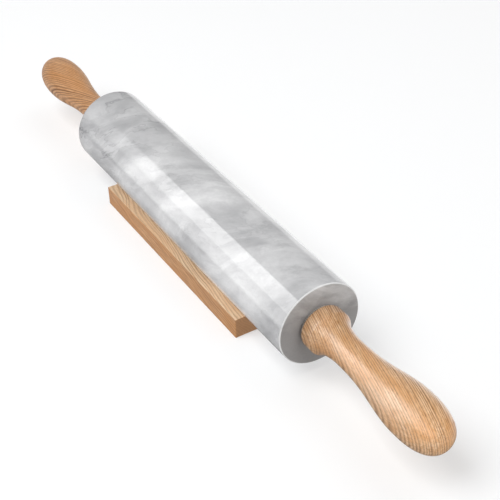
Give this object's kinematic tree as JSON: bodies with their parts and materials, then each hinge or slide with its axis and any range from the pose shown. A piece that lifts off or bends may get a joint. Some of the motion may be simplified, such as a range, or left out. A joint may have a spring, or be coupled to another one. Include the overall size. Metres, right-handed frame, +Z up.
{
  "type": "rolling pin",
  "caption": "Polished marble rolling pin with turned wooden handles on a steel axle, lying in a grooved wooden cradle.",
  "frame": {"origin": "on the floor under the middle of the pin, at the centre of the bottom of the whole object's box", "axes": "+X along the pin to its right handle, +Z up, -Y to the cradle's front; the pin's axis is 32.3 mm above the floor"},
  "size_m": [0.4664, 0.052, 0.0583],
  "materials": {
    "cradle_wood": "oiled satin",
    "marble": "polished",
    "bush_plastic": "moulded",
    "steel": "turned",
    "washer_plastic": "moulded",
    "brass": "turned",
    "handle_wood": "lacquered satin"
  },
  "bodies": {
    "cradle": {"cradle": "cradle_wood"},
    "barrel": {"marble_barrel": "marble", "bearing_bush_left": "bush_plastic", "bearing_bush_right": "bush_plastic"},
    "handles": {"axle_rod": "steel", "thrust_washer_left": "washer_plastic", "thrust_washer_right": "washer_plastic", "threaded_insert_left": "brass", "threaded_insert_right": "brass", "handle_left": "handle_wood", "handle_right": "handle_wood"}
  },
  "joints": [
    {"name": "pin_lift", "type": "slide", "parent": "cradle", "child": "barrel", "axis": [0, 0, 1], "range_m": [0, 0.1]},
    {"name": "handle_spin", "type": "hinge", "parent": "barrel", "child": "handles", "pos_m": [0, 0, 0.0323], "axis": [1, 0, 0], "continuous": true}
  ]
}
